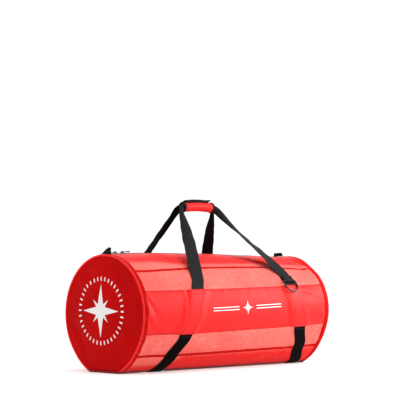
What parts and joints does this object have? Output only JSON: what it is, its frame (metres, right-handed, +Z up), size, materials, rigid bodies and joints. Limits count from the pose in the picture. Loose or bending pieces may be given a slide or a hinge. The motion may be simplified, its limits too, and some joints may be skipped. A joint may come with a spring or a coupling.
{
  "type": "mesh dive gear bag",
  "caption": "Round mesh duffel for dive gear, closed, with webbing handles joined by a padded grip and a D-ring.",
  "frame": {"origin": "on the floor under the middle of the bag, on the underside of its flat base panel", "axes": "+X along the bag towards its right end as seen from the front, -Y towards the front panel with the D-ring, +Z up towards the zip and the grip"},
  "size_m": [0.82, 0.3678, 0.5235],
  "materials": {
    "panel_cloth": "satin",
    "end_cloth": "satin",
    "net": "matte",
    "trim": "satin",
    "piping": "satin",
    "webbing": "matte",
    "grip": "satin",
    "closure": "matte",
    "zip_tape": "matte",
    "zip_chain": "satin",
    "slider_metal": "polished",
    "ring_metal": "polished"
  },
  "bodies": {
    "root": {"end_panel_left": "end_cloth", "end_panel_right": "end_cloth", "piping_left": "piping", "piping_right": "piping", "end_band_left": "trim", "end_band_right": "trim", "side_panel_front": "panel_cloth", "side_panel_rear": "panel_cloth", "base_panel": "panel_cloth", "zip_facing_front": "panel_cloth", "zip_facing_rear": "panel_cloth", "mesh_upper_front": "net", "mesh_upper_rear": "net", "mesh_top_front": "net", "mesh_top_rear": "net", "mesh_lower_front": "net", "mesh_lower_rear": "net", "mesh_bottom_front": "net", "mesh_bottom_rear": "net", "seam_tape_upper_front": "trim", "seam_tape_upper_rear": "trim", "seam_tape_lower_front": "trim", "seam_tape_lower_rear": "trim", "strap_front_left": "webbing", "strap_front_right": "webbing", "strap_rear_left": "webbing", "strap_rear_right": "webbing", "belly_web_left": "webbing", "belly_web_right": "webbing", "grip_wrap": "grip", "grip_closure": "closure", "grip_binding_left": "webbing", "grip_binding_right": "webbing", "zip_tape": "zip_tape", "zip_chain": "zip_chain", "zip_slider_left": "slider_metal", "zip_slider_right": "slider_metal", "zip_end_tab_left": "webbing", "zip_end_tab_right": "webbing", "d_ring_tab": "webbing"},
    "ring": {"d_ring": "ring_metal"},
    "pull_left": {"zip_pull_left": "slider_metal"},
    "pull_right": {"zip_pull_right": "slider_metal"}
  },
  "joints": [
    {"name": "ring_hinge", "type": "hinge", "parent": "root", "child": "ring", "pos_m": [0.23855, -0.15781, 0.2688], "axis": [-1, -0.0079, 0.005], "range_deg": [0, 160]},
    {"name": "pull_left_hinge", "type": "hinge", "parent": "root", "child": "pull_left", "pos_m": [-0.35181, 0.00811, 0.35974], "axis": [0, 0.999, -0.0447], "range_deg": [0, 110]},
    {"name": "pull_right_hinge", "type": "hinge", "parent": "root", "child": "pull_right", "pos_m": [-0.32481, 0.00816, 0.36072], "axis": [-0.0001, -0.999, 0.0456], "range_deg": [0, 110]}
  ]
}
